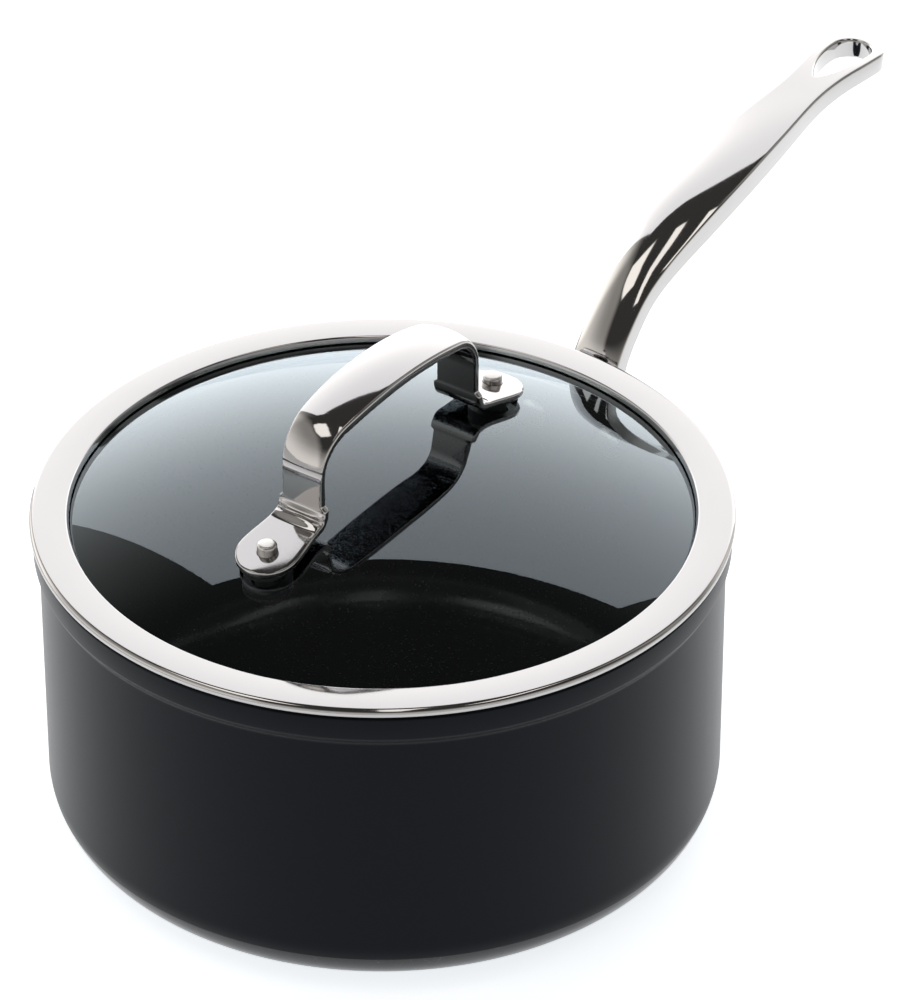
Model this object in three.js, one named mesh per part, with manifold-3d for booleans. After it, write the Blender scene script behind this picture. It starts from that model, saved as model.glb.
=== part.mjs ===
// Saucepan with a domed glass lid, in millimetres, +Z up. The origin is the centre of the pan's base,
// on the surface it stands on. The long handle points along +X, and the lid's handle lies in the same plane.
import * as THREE from 'three';
import { mergeVertices } from 'three/addons/utils/BufferGeometryUtils.js';
import Module from 'manifold-3d';

const wasm = await Module();
wasm.setup();

// Fits
const GAP = 0.3; // between faces that touch on the real object
const HOLE_CLEARANCE = 0.3; // all round a shank in its hole
const SEGMENTS = 64; // round the large turned pieces
const SMALL_SEGMENTS = 20; // round the small turned pieces

// Pan
const PAN_RADIUS = 103.5;
const PAN_HEIGHT = 102;
const PAN_WALL = 3.2;
const PAN_FLOOR = 4.2;
const BASE_FILLET = 17.5;
const LIP_FLARE = 1.7; // how far the lip stands out from the wall
const LIP_DEPTH = 10.5; // from the rim down to the crease under the lip
const LIP_RUN = 3.5; // height over which the lip flares
const LIP_EDGE = 0.8; // rounding of the rim's two edges
const PLATE_RADIUS = 72;
const PLATE_THICKNESS = 1.2;

// Lid
const LID_OVERHANG = 0.9; // steel ring past the pan's lip
const RING_SHEET = 0.8;
const RING_HEIGHT = 3.2; // from the seat to the flat top
const RING_WIDTH = 12; // from the outer edge to the opening over the glass
const SKIRT_DEPTH = 9; // how far the locating skirt reaches into the pan
const SKIRT_CLEARANCE = 0.6;
const GLASS_THICKNESS = 4;
const GLASS_RISE = 19.6; // from the glass's edge to its crown
const GASKET_WALL = 0.9;

// Lid handle
const STUD_SPACING = 113;
const STUD_RADIUS = 3;
const STUD_PROUD = 4;
const STUD_HEAD_RADIUS = 5.5;
const STUD_HEAD = 2.6;
const STRAP = 2.2;
const STRAP_HALF_WIDTH = 7.3;
const BRIDGE_HALF_WIDTH = 9.1;
const BRIDGE_EDGE = 3.6; // strap thickness at the bridge's edges
const BRIDGE_CROWN = 1.2;
const BRIDGE_HEIGHT = 30; // underside of the bridge above the glass's crown
const LEG_SPACING = 74.8; // between the legs' inner faces
const FOOT_RADIUS = 10;
const PAD = 1.5;
const PAD_RADIUS = 8;
const WASHER = 1;
const WASHER_RADIUS = 7.5;
const SLEEVE_WALL = 1;

// Pan handle
const HANDLE_HEAD_RADIUS = 10.5;
const HOLE_RADIUS = 6.5; // round end of the hanging hole
const HOLE_LENGTH = 28;
const HOLE_MARGIN = 4.7; // steel left past its round end
const FLANGE_WIDTH = 46;
const FLANGE_HEIGHT = 25;
const FLANGE_THICKNESS = 3;
const FLANGE_DROP = 21; // its centre below the rim
const RIVET_SPACING = 30;
const RIVET_RADIUS = 3;
const RIVET_HEAD_RADIUS = 5.6;
const RIVET_HEAD = 2.4;

// Worked out from the values above
const PAN_BORE = PAN_RADIUS - PAN_WALL;
const LIP_RADIUS = PAN_RADIUS + LIP_FLARE;
const SEAT = PAN_HEIGHT + GAP;
const RING_RADIUS = LIP_RADIUS + LID_OVERHANG;
const RING_TOP = SEAT + RING_HEIGHT;
const RING_OPENING = RING_RADIUS - RING_WIDTH;
const SKIRT_OUTSIDE = PAN_BORE - SKIRT_CLEARANCE;
const SKIRT_INSIDE = SKIRT_OUTSIDE - RING_SHEET;
const GLASS_RADIUS = SKIRT_INSIDE - 2 * GAP - GASKET_WALL;
const GLASS_EDGE = RING_TOP - RING_SHEET - 1.9 - GASKET_WALL;
const DOME_RADIUS = (GLASS_RADIUS ** 2 + GLASS_RISE ** 2) / (2 * GLASS_RISE);
const DOME_CENTRE = GLASS_EDGE + GLASS_RISE - DOME_RADIUS;
const STUD_X = STUD_SPACING / 2;
const FOOT_X = STUD_X - 1.5;
const FOOT_TILT = Math.asin(FOOT_X / DOME_RADIUS);
const RIVET_ANGLE = Math.asin(RIVET_SPACING / 2 / PAN_RADIUS);
const FLANGE_Z = PAN_HEIGHT - FLANGE_DROP;

const steel = () => new THREE.MeshStandardMaterial({ color: 0xd6d3cf, metalness: 1, roughness: 0.12 });
const satinSteel = () => new THREE.MeshStandardMaterial({ color: 0xc9c7c3, metalness: 1, roughness: 0.35 });
const anodised = () => new THREE.MeshStandardMaterial({ color: 0x1e2124, metalness: 0.5, roughness: 0.5 });
const plateSteel = () => new THREE.MeshStandardMaterial({ color: 0x8d8f92, metalness: 1, roughness: 0.5 });
const silicone = () => new THREE.MeshStandardMaterial({ color: 0x15171a, metalness: 0, roughness: 0.7 });
const clearGlass = () => new THREE.MeshStandardMaterial({
  color: 0xaebcc4,
  metalness: 0,
  roughness: 0.03,
  transparent: true,
  opacity: 0.35,
});

// Height of the glass's outer or inner surface at a distance from the axis
const glassTop = (r) => DOME_CENTRE + Math.sqrt(DOME_RADIUS ** 2 - r ** 2);
const glassUnder = (r) => DOME_CENTRE + Math.sqrt((DOME_RADIUS - GLASS_THICKNESS) ** 2 - r ** 2);
const smooth = (from, to, value) => THREE.MathUtils.smoothstep(value, from, to);

// Points of an arc, angles in degrees from the first axis
function arc(centreX, centreY, radius, from, to, steps) {
  return Array.from({ length: steps + 1 }, (_, i) => {
    const angle = THREE.MathUtils.degToRad(from + ((to - from) * i) / steps);
    return new THREE.Vector2(centreX + radius * Math.cos(angle), centreY + radius * Math.sin(angle));
  });
}

// A copy of a closed mesh with its faces pointing out
function outward(geometry) {
  const merged = geometry.clone();
  merged.deleteAttribute('normal');
  merged.deleteAttribute('uv');
  const solid = mergeVertices(merged, 1e-4);
  const points = solid.getAttribute('position');
  const index = Array.from(solid.index.array);
  const [a, b, c] = [new THREE.Vector3(), new THREE.Vector3(), new THREE.Vector3()];
  const kept = [];
  let volume = 0;
  for (let i = 0; i < index.length; i += 3) {
    const [p, q, r] = index.slice(i, i + 3);
    if (p === q || q === r || r === p) continue;
    kept.push(p, q, r);
    a.fromBufferAttribute(points, p);
    b.fromBufferAttribute(points, q);
    c.fromBufferAttribute(points, r);
    volume += a.dot(b.cross(c));
  }
  solid.setIndex(volume < 0 ? kept.reverse() : kept);
  return solid;
}

function toSolid(geometry) {
  const closed = outward(geometry);
  return new wasm.Manifold(new wasm.Mesh({
    numProp: 3,
    vertProperties: new Float32Array(closed.getAttribute('position').array),
    triVerts: new Uint32Array(closed.index.array),
  }));
}

function fromSolid(solid) {
  const mesh = solid.getMesh();
  const geometry = new THREE.BufferGeometry();
  geometry.setAttribute('position', new THREE.BufferAttribute(new Float32Array(mesh.vertProperties), 3));
  geometry.setIndex(Array.from(mesh.triVerts));
  return geometry;
}

const cut = (body, ...tools) =>
  fromSolid(tools.reduce((rest, tool) => rest.subtract(toSolid(tool)), toSolid(body)));

function piece(name, geometry, material) {
  const finished = outward(geometry);
  finished.computeVertexNormals();
  const mesh = new THREE.Mesh(finished, material);
  mesh.name = name;
  return mesh;
}

// A profile of (radius, height) points turned about +Z
const turned = (profile, segments = SEGMENTS) => new THREE.LatheGeometry(profile, segments).rotateX(Math.PI / 2);

function rod(radius, bottom, top, x = 0, segments = SMALL_SEGMENTS) {
  const geometry = new THREE.CylinderGeometry(radius, radius, top - bottom, segments).rotateX(Math.PI / 2);
  return geometry.translate(x, 0, (top + bottom) / 2);
}

// A closed skin over a row of rings, each ring a list of the same number of points
function loft(rings) {
  const count = rings[0].length;
  const points = rings.flat();
  const index = [];
  for (let ring = 0; ring < rings.length - 1; ring += 1) {
    for (let i = 0; i < count; i += 1) {
      const a = ring * count + i;
      const b = ring * count + ((i + 1) % count);
      index.push(a, b, b + count, a, b + count, a + count);
    }
  }
  for (const [start, flip] of [[0, true], [(rings.length - 1) * count, false]]) {
    const centre = points.length;
    const ring = points.slice(start, start + count);
    points.push(ring.reduce((sum, p) => sum.add(p), new THREE.Vector3()).divideScalar(count));
    for (let i = 0; i < count; i += 1) {
      const edge = [start + i, start + ((i + 1) % count)];
      index.push(...(flip ? edge.reverse() : edge), centre);
    }
  }
  const geometry = new THREE.BufferGeometry().setFromPoints(points);
  geometry.setIndex(index);
  return geometry;
}

// A D-shaped section across a bar: flat underside, rounded sides and a crowned top
function barSection(halfWidth, edge, crown) {
  const round = Math.min(0.25 * edge, 0.5 * halfWidth);
  const across = [-1, -0.75, -0.4, 0, 0.4, 0.75, 1];
  const top = across.map((share) => [share * (halfWidth - 0.5 * round), edge + crown * (1 - share ** 2)]);
  return [
    [halfWidth - round, 0],
    [-halfWidth + round, 0],
    [-halfWidth, round],
    [-halfWidth, edge - 0.6 * round],
    ...top,
    [halfWidth, edge - 0.6 * round],
    [halfWidth, round],
  ];
}

// Rings of bar sections along stations in the XZ plane; the section's top faces the path's left side
function sweep(stations) {
  return loft(stations.map(({ x, z, direction, halfWidth, edge, crown, lift = 0 }) => {
    const left = new THREE.Vector2(-direction.y, direction.x);
    return barSection(halfWidth, edge, crown).map(([across, up]) =>
      new THREE.Vector3(x + left.x * (up + lift), across, z + left.y * (up + lift)));
  }));
}

// A path of straight runs with an arc of a given radius at each inner corner
function roundedPath(corners, radii, arcSteps) {
  const path = [corners[0]];
  for (let i = 1; i < corners.length - 1; i += 1) {
    const before = corners[i - 1].clone().sub(corners[i]).normalize();
    const after = corners[i + 1].clone().sub(corners[i]).normalize();
    const half = before.angleTo(after) / 2;
    const reach = radii[i - 1] / Math.tan(half);
    const middle = before.clone().add(after).normalize();
    const centre = corners[i].clone().addScaledVector(middle, radii[i - 1] / Math.sin(half));
    const from = corners[i].clone().addScaledVector(before, reach).sub(centre);
    const to = corners[i].clone().addScaledVector(after, reach).sub(centre);
    const turn = Math.atan2(from.cross(to), from.dot(to));
    for (let step = 0; step <= arcSteps[i - 1]; step += 1) {
      const spoke = from.clone().rotateAround(new THREE.Vector2(), (turn * step) / arcSteps[i - 1]);
      path.push(centre.clone().add(spoke));
    }
  }
  path.push(corners.at(-1));
  return path;
}

function panBody() {
  const recess = PLATE_THICKNESS + GAP;
  const crease = PAN_HEIGHT - LIP_DEPTH;
  const floorFillet = BASE_FILLET - PAN_WALL;
  const profile = [
    new THREE.Vector2(0, recess),
    new THREE.Vector2(PLATE_RADIUS + GAP, recess),
    new THREE.Vector2(PLATE_RADIUS + GAP, 0),
    ...arc(PAN_RADIUS - BASE_FILLET, BASE_FILLET, BASE_FILLET, -90, 0, 7),
    new THREE.Vector2(PAN_RADIUS, crease),
    new THREE.Vector2(PAN_RADIUS + 0.3 * LIP_FLARE, crease + 0.35 * LIP_RUN),
    new THREE.Vector2(PAN_RADIUS + 0.85 * LIP_FLARE, crease + 0.75 * LIP_RUN),
    new THREE.Vector2(LIP_RADIUS, crease + LIP_RUN),
    ...arc(LIP_RADIUS - LIP_EDGE, PAN_HEIGHT - LIP_EDGE, LIP_EDGE, 0, 90, 2),
    ...arc(PAN_BORE + LIP_EDGE, PAN_HEIGHT - LIP_EDGE, LIP_EDGE, 90, 180, 2),
    ...arc(PAN_BORE - floorFillet, PAN_FLOOR + floorFillet, floorFillet, 0, -90, 6),
    new THREE.Vector2(0, PAN_FLOOR),
  ];
  const holes = [-1, 1].map((side) =>
    rod(RIVET_RADIUS + HOLE_CLEARANCE, PAN_BORE - 8, LIP_RADIUS + 8)
      .rotateY(Math.PI / 2)
      .rotateZ(side * RIVET_ANGLE)
      .translate(0, 0, FLANGE_Z));
  return piece('pan_body', cut(turned(profile), ...holes), anodised());
}

function inductionPlate() {
  return piece('induction_plate', rod(PLATE_RADIUS, 0, PLATE_THICKNESS, 0, SEGMENTS), plateSteel());
}

// Each rivet has a domed head inside the pan and a low formed head on the flange
function handleRivet(name, side) {
  const inner = PAN_BORE - GAP;
  const outer = PAN_RADIUS + GAP + FLANGE_THICKNESS + GAP;
  const dome = [0, 30, 60, 85].map((degrees) => {
    const angle = THREE.MathUtils.degToRad(degrees);
    return new THREE.Vector2(RIVET_HEAD_RADIUS * Math.sin(angle), inner - 0.4 - RIVET_HEAD * Math.cos(angle));
  });
  const profile = [
    ...dome,
    new THREE.Vector2(RIVET_HEAD_RADIUS, inner),
    new THREE.Vector2(RIVET_RADIUS, inner),
    new THREE.Vector2(RIVET_RADIUS, outer),
    new THREE.Vector2(RIVET_RADIUS + 1.4, outer),
    new THREE.Vector2(RIVET_RADIUS + 1, outer + 1.2),
    new THREE.Vector2(0, outer + 1.5),
  ];
  const geometry = turned(profile, SMALL_SEGMENTS)
    .rotateY(Math.PI / 2)
    .rotateZ(side * RIVET_ANGLE)
    .translate(0, 0, FLANGE_Z);
  return piece(name, geometry, satinSteel());
}

// The handle's top line, from the flange to its tip: [out from the wall, up from the rim, half width]
const HANDLE_SPINE = [
  [3, -22, 9.5],
  [4.3, -12, 9],
  [9, -1.5, 8.4],
  [17, 8.2, 8.2],
  [27.8, 17.6, 8.3],
  [50.7, 28.9, 10.8],
  [76.5, 35, 10.9],
  [104.4, 39.7, 9.4],
  [123, 41.7, 7.8],
  [137, 42.8, 8.5],
  [148, 43.1, 10],
  [165.6, 42.2, HANDLE_HEAD_RADIUS],
];
const HANDLE_STEPS = 44;
const HANDLE_EDGE_ROOT = 7.2; // height of the side band at the root,
const HANDLE_EDGE_GRIP = 8.8; // in the grip
const HANDLE_EDGE_TIP = 7; // and at the tip
const HANDLE_CROWN = 2.6;

function handleStations() {
  const spine = new THREE.CatmullRomCurve3(
    HANDLE_SPINE.map(([out, up, width]) => new THREE.Vector3(PAN_RADIUS + out, PAN_HEIGHT + up, width)),
    false,
    'centripetal',
  );
  const length = spine.getLength();
  const shares = Array.from({ length: HANDLE_STEPS + 1 }, (_, i) => i / HANDLE_STEPS);
  const roundStart = 1 - HANDLE_HEAD_RADIUS / length;
  const roundEnd = [0.25, 0.45, 0.62, 0.76, 0.87, 0.95, 0.99];
  const all = [
    ...shares.filter((share) => share < roundStart),
    ...roundEnd.map((part) => roundStart + part * (1 - roundStart)),
  ];
  return all.map((share) => {
    const point = spine.getPointAt(share);
    const slope = spine.getTangentAt(share);
    const past = Math.max(0, (share - roundStart) / (1 - roundStart));
    const halfWidth = point.z * Math.sqrt(1 - past ** 2);
    const grip = THREE.MathUtils.lerp(HANDLE_EDGE_ROOT, HANDLE_EDGE_GRIP, smooth(0.2, 0.45, share));
    const edge = THREE.MathUtils.lerp(grip, HANDLE_EDGE_TIP, smooth(0.55, 0.95, share));
    const crown = HANDLE_CROWN * (1 - smooth(0.6, 0.85, share)) * smooth(0, 0.15, share);
    return {
      x: point.x,
      z: point.y,
      direction: new THREE.Vector2(slope.x, slope.y).normalize(),
      halfWidth,
      edge,
      crown: Math.min(crown, 0.3 * halfWidth),
      lift: -edge,
    };
  });
}

// A teardrop, its point towards the pan, through the flat head of the handle
function hangingHole() {
  const [tipOut, tipUp] = HANDLE_SPINE.at(-1);
  const [neckOut, neckUp] = HANDLE_SPINE.at(-2);
  const slope = Math.atan2(tipUp - neckUp, tipOut - neckOut);
  const reach = HOLE_LENGTH - HOLE_RADIUS; // from the round end's centre to the point
  const point = 1; // half the width left at the point, before its rounding
  const bulge = new THREE.Vector2(0.6 * reach, 1.05 * HOLE_RADIUS);
  const outline = new THREE.Shape();
  outline.absarc(0, 0, HOLE_RADIUS, Math.PI / 2, -Math.PI / 2, true);
  outline.quadraticCurveTo(-bulge.x, -bulge.y, point - reach, -point);
  outline.quadraticCurveTo(-reach - 0.2 * point, 0, point - reach, point);
  outline.quadraticCurveTo(-bulge.x, bulge.y, 0, HOLE_RADIUS);
  return new THREE.ExtrudeGeometry(outline, { depth: 40, bevelEnabled: false, curveSegments: 10 })
    .translate(0, 0, -20)
    .rotateY(-slope)
    .translate(PAN_RADIUS + tipOut - HOLE_MARGIN - HOLE_RADIUS, 0, PAN_HEIGHT + tipUp);
}

// A plate bent to the pan's wall, with an oval outline
function flangePlate() {
  const inner = PAN_RADIUS + GAP;
  const shell = turned([
    new THREE.Vector2(inner, 0),
    new THREE.Vector2(inner + FLANGE_THICKNESS, 0),
    new THREE.Vector2(inner + FLANGE_THICKNESS, FLANGE_HEIGHT + 2),
    new THREE.Vector2(inner, FLANGE_HEIGHT + 2),
    new THREE.Vector2(inner, 0),
  ]).translate(0, 0, FLANGE_Z - FLANGE_HEIGHT / 2 - 1);
  const outline = new THREE.Shape();
  outline.absellipse(0, 0, FLANGE_HEIGHT / 2, FLANGE_WIDTH / 2, 0, 2 * Math.PI);
  const prism = new THREE.ExtrudeGeometry(outline, { depth: 20, bevelEnabled: false, curveSegments: 14 })
    .rotateY(Math.PI / 2)
    .translate(PAN_RADIUS - 10, 0, FLANGE_Z);
  return toSolid(shell).intersect(toSolid(prism));
}

function panHandle() {
  const bar = toSolid(sweep(handleStations()));
  const wall = toSolid(rod(PAN_RADIUS + GAP, 0, PAN_HEIGHT + 60, 0, SEGMENTS));
  const lip = toSolid(turned([
    new THREE.Vector2(PAN_RADIUS - 3, PAN_HEIGHT - LIP_DEPTH - 1),
    new THREE.Vector2(PAN_RADIUS + GAP, PAN_HEIGHT - LIP_DEPTH - 1),
    new THREE.Vector2(LIP_RADIUS + GAP, PAN_HEIGHT - LIP_DEPTH + LIP_RUN - 1),
    new THREE.Vector2(RING_RADIUS + 2 * GAP, SEAT - 2 * GAP),
    new THREE.Vector2(RING_RADIUS + 2 * GAP, PAN_HEIGHT + 60),
    new THREE.Vector2(PAN_RADIUS - 3, PAN_HEIGHT + 60),
    new THREE.Vector2(PAN_RADIUS - 3, PAN_HEIGHT - LIP_DEPTH - 1),
  ]));
  let solid = bar.add(flangePlate()).subtract(wall).subtract(lip);
  for (const side of [-1, 1]) {
    const hole = rod(RIVET_RADIUS + HOLE_CLEARANCE, PAN_RADIUS - 5, PAN_RADIUS + 15)
      .rotateY(Math.PI / 2)
      .rotateZ(side * RIVET_ANGLE)
      .translate(0, 0, FLANGE_Z);
    solid = solid.subtract(toSolid(hole));
  }
  return piece('pan_handle', fromSolid(solid.subtract(toSolid(hangingHole()))), steel());
}

// One sheet of steel: inner lip, flat top, rolled edge, seat, skirt and the hook under the gasket
function lidRim() {
  const half = RING_SHEET / 2;
  const roll = RING_HEIGHT / 2 - half;
  const rollX = RING_RADIUS - RING_HEIGHT / 2;
  const skirt = SKIRT_OUTSIDE - half;
  const bottom = SEAT - SKIRT_DEPTH + half;
  const centreLine = [
    new THREE.Vector2(RING_OPENING + half, RING_TOP - 1.7),
    ...arc(RING_OPENING + half + 0.7, RING_TOP - half - 0.7, 0.7, 180, 90, 2),
    ...arc(rollX, RING_TOP - RING_HEIGHT / 2, roll, 90, -90, 6),
    ...arc(skirt + 0.7, SEAT + half - 0.7, 0.7, 90, 180, 2),
    ...arc(skirt - 0.7, bottom + 0.7, 0.7, 0, -90, 2),
    new THREE.Vector2(SKIRT_INSIDE - 3.4, bottom),
  ];
  const sides = centreLine.map((point, i) => {
    const ahead = centreLine[Math.min(i + 1, centreLine.length - 1)];
    const behind = centreLine[Math.max(i - 1, 0)];
    const along = ahead.clone().sub(behind).normalize();
    const across = new THREE.Vector2(-along.y, along.x).multiplyScalar(half);
    return [point.clone().add(across), point.clone().sub(across)];
  });
  const profile = [...sides.map(([left]) => left), ...sides.map(([, right]) => right).reverse(), sides[0][0]];
  return piece('lid_rim', turned(profile), steel());
}

// A silicone channel round the edge of the glass
function lidGasket() {
  const inner = RING_OPENING + RING_SHEET + GAP;
  const back = GLASS_RADIUS + GAP;
  const outer = back + GASKET_WALL;
  const profile = [
    new THREE.Vector2(inner, glassTop(inner) + GAP),
    new THREE.Vector2(back, glassTop(GLASS_RADIUS) + GAP),
    new THREE.Vector2(back, glassUnder(GLASS_RADIUS) - GAP),
    new THREE.Vector2(inner, glassUnder(inner) - GAP),
    new THREE.Vector2(inner, glassUnder(inner) - GAP - GASKET_WALL),
    new THREE.Vector2(outer, glassUnder(GLASS_RADIUS) - GAP - GASKET_WALL),
    new THREE.Vector2(outer, glassTop(GLASS_RADIUS) + GAP + GASKET_WALL),
    new THREE.Vector2(inner, glassTop(inner) + GAP + GASKET_WALL),
    new THREE.Vector2(inner, glassTop(inner) + GAP),
  ];
  return piece('lid_gasket', turned(profile), silicone());
}

function lidGlass() {
  const radii = Array.from({ length: 9 }, (_, i) => (GLASS_RADIUS * i) / 8);
  const profile = [
    ...radii.map((r) => new THREE.Vector2(r, glassUnder(r))),
    ...radii.reverse().map((r) => new THREE.Vector2(r, glassTop(r))),
  ];
  const bore = STUD_RADIUS + 2 * HOLE_CLEARANCE + SLEEVE_WALL + HOLE_CLEARANCE;
  const holes = [-1, 1].map((side) => rod(bore, GLASS_EDGE - 20, GLASS_EDGE + GLASS_RISE + 20, side * STUD_X));
  return piece('lid_glass', cut(turned(profile), ...holes), clearGlass());
}

// The underside of a foot at its middle, on the +X side
function footPoint() {
  const rise = GAP + PAD + GAP;
  return new THREE.Vector2(FOOT_X + rise * Math.sin(FOOT_TILT), glassTop(FOOT_X) + rise * Math.cos(FOOT_TILT));
}

const footUnder = (x) => footPoint().y - (x - footPoint().x) * Math.tan(FOOT_TILT);

// A strap of steel: two feet bent to the slope of the glass, two upright legs and a crowned bridge
function lidHandle() {
  const crown = DOME_CENTRE + DOME_RADIUS;
  const legX = LEG_SPACING / 2;
  const footEnd = footPoint().x + FOOT_RADIUS * Math.cos(FOOT_TILT);
  const shoulder = crown + BRIDGE_HEIGHT - 5;
  const right = [
    new THREE.Vector2(0, crown + BRIDGE_HEIGHT + 2.6),
    new THREE.Vector2(legX, shoulder),
    new THREE.Vector2(legX, footUnder(legX)),
    new THREE.Vector2(footEnd, footUnder(footEnd)),
  ];
  const left = right.slice(1).map(({ x, y }) => new THREE.Vector2(-x, y)).reverse();
  const path = roundedPath([...left, ...right], [3.2, 12, 135, 12, 3.2], [5, 8, 10, 8, 5]);
  const footSteps = [0.6, 2, 4, 7, 10, 14, 18].map((d) => d * Math.cos(FOOT_TILT));
  const footPoints = footSteps.map((d) => new THREE.Vector2(footEnd - d, footUnder(footEnd - d)));
  const legPoints = [4, 2, 0, -2].map((d) => new THREE.Vector2(legX, shoulder - 12.5 - d));
  const mirror = ({ x, y }) => new THREE.Vector2(-x, y);
  const all = [
    ...footPoints.map(mirror),
    ...path.slice(1, 7),
    ...legPoints.map(mirror),
    ...path.slice(7, -7),
    ...legPoints.reverse(),
    ...path.slice(-7, -1),
    ...footPoints.reverse(),
  ].filter((point, i, list) => i === 0 || point.distanceTo(list[i - 1]) > 0.05);
  const stations = all.map((point, i) => {
    const direction = all[Math.min(i + 1, all.length - 1)].clone().sub(all[Math.max(i - 1, 0)]).normalize();
    const out = Math.abs(point.x);
    const bridge = smooth(shoulder - 12, shoulder - 8, point.y);
    const toEnd = (footEnd - out) / Math.cos(FOOT_TILT);
    const round = Math.sqrt(Math.max(0, FOOT_RADIUS ** 2 - Math.max(0, FOOT_RADIUS - toEnd) ** 2));
    const neck = THREE.MathUtils.lerp(round, STRAP_HALF_WIDTH, smooth(FOOT_RADIUS, footEnd - legX - 3, toEnd));
    const middle = 1 - (out / legX) ** 3;
    const beam = THREE.MathUtils.lerp(STRAP_HALF_WIDTH, BRIDGE_HALF_WIDTH, Math.max(0, middle));
    return {
      x: point.x,
      z: point.y,
      direction,
      halfWidth: out > legX + 0.1 ? neck : beam,
      edge: THREE.MathUtils.lerp(STRAP, BRIDGE_EDGE, bridge * (0.3 + 0.7 * Math.max(0, middle))),
      crown: THREE.MathUtils.lerp(0.15, BRIDGE_CROWN, bridge),
    };
  });
  const holes = [-1, 1].map((side) =>
    rod(STUD_RADIUS + HOLE_CLEARANCE, GLASS_EDGE, crown + 20, side * STUD_X));
  return piece('lid_handle', cut(sweep(stations), ...holes), steel());
}

// What holds one foot: stud, sleeve, pad above the glass, and soft and steel washers below it
function footFixings(end, side) {
  const at = side * STUD_X;
  const sleeveInside = STUD_RADIUS + HOLE_CLEARANCE;
  const sleeveOutside = sleeveInside + SLEEVE_WALL;
  const padBore = sleeveOutside + 2 * HOLE_CLEARANCE;
  const slopeDrop = WASHER_RADIUS * Math.tan(FOOT_TILT);
  const softBottom = glassUnder(STUD_X) - slopeDrop - 2 * GAP - 1;
  const washerTop = softBottom - GAP;
  const headTop = washerTop - WASHER - GAP;
  const footTop = footUnder(STUD_X) + STRAP / Math.cos(FOOT_TILT);

  const ring = (inside, outside, bottom, top) => turned([
    new THREE.Vector2(inside, bottom),
    new THREE.Vector2(outside, bottom),
    new THREE.Vector2(outside, top),
    new THREE.Vector2(inside, top),
    new THREE.Vector2(inside, bottom),
  ], SMALL_SEGMENTS);

  const stud = turned([
    new THREE.Vector2(0, headTop - STUD_HEAD),
    new THREE.Vector2(STUD_HEAD_RADIUS - 1, headTop - STUD_HEAD),
    new THREE.Vector2(STUD_HEAD_RADIUS, headTop - 0.6 * STUD_HEAD),
    new THREE.Vector2(STUD_HEAD_RADIUS, headTop),
    new THREE.Vector2(STUD_RADIUS, headTop),
    new THREE.Vector2(STUD_RADIUS, footTop + STUD_PROUD - 0.6),
    new THREE.Vector2(STUD_RADIUS - 0.6, footTop + STUD_PROUD),
    new THREE.Vector2(0, footTop + STUD_PROUD + 0.1),
  ], SMALL_SEGMENTS);
  const sleeveTop = footUnder(STUD_X + sleeveOutside) - GAP;
  const sleeve = ring(sleeveInside, sleeveOutside, washerTop + GAP, sleeveTop);
  const washer = ring(STUD_RADIUS + HOLE_CLEARANCE, WASHER_RADIUS, washerTop - WASHER, washerTop);

  // The pad lies on the slope of the glass
  const padDrop = (STUD_X - FOOT_X) * Math.tan(FOOT_TILT);
  const pad = cut(
    rod(PAD_RADIUS, 0, PAD).rotateY(side * FOOT_TILT).translate(
      side * (STUD_X + GAP * Math.sin(FOOT_TILT)),
      0,
      glassTop(FOOT_X) - padDrop + GAP / Math.cos(FOOT_TILT),
    ),
    rod(padBore, GLASS_EDGE, GLASS_EDGE + 60, at),
  );

  // The soft washer is level below and sloped above
  const slopeCut = new THREE.BoxGeometry(60, 60, 20)
    .translate(0, 0, 10)
    .rotateY(side * FOOT_TILT)
    .translate(at, 0, glassUnder(STUD_X) - 2 * GAP);
  const soft = cut(ring(padBore, WASHER_RADIUS, softBottom, glassUnder(STUD_X) + 5).translate(at, 0, 0), slopeCut);

  return [
    piece(`lid_stud_${end}`, stud.translate(at, 0, 0), satinSteel()),
    piece(`stud_sleeve_${end}`, sleeve.translate(at, 0, 0), silicone()),
    piece(`foot_pad_${end}`, pad, silicone()),
    piece(`glass_washer_${end}`, soft, silicone()),
    piece(`steel_washer_${end}`, washer.translate(at, 0, 0), satinSteel()),
  ];
}

const pan = new THREE.Group();
pan.add(
  panBody(),
  inductionPlate(),
  panHandle(),
  handleRivet('handle_rivet_left', 1),
  handleRivet('handle_rivet_right', -1),
);

const lid = new THREE.Group();
lid.add(lidGlass(), lidRim(), lidGasket(), lidHandle(), ...footFixings('front', -1), ...footFixings('rear', 1));

const saucepan = new THREE.Group();
saucepan.add(pan, lid);

export default saucepan;
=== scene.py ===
"""Looks of the saucepan with a domed glass lid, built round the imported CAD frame.

Lengths in the shape helpers are in millimetres, in the row frame: the origin is the centre of the pan's base,
+Z is up and +X runs along the pan's long handle. make() turns them into metres.
"""
import math

import bmesh
import bpy
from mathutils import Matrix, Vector


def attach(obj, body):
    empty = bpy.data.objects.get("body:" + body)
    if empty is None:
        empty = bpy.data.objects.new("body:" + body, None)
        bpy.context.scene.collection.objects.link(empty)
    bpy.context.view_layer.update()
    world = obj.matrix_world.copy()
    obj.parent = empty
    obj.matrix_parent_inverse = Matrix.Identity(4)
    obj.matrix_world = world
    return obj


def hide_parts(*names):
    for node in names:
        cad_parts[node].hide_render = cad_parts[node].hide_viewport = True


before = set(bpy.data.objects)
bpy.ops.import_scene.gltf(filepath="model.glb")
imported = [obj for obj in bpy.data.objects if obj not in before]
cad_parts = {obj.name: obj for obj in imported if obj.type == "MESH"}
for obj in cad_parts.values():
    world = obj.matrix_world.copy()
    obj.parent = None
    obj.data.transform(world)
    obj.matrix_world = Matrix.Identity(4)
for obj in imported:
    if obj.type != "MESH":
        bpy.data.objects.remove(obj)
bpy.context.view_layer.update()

MM = 0.001
ROUND = 256  # segments round the large turned pieces
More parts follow.
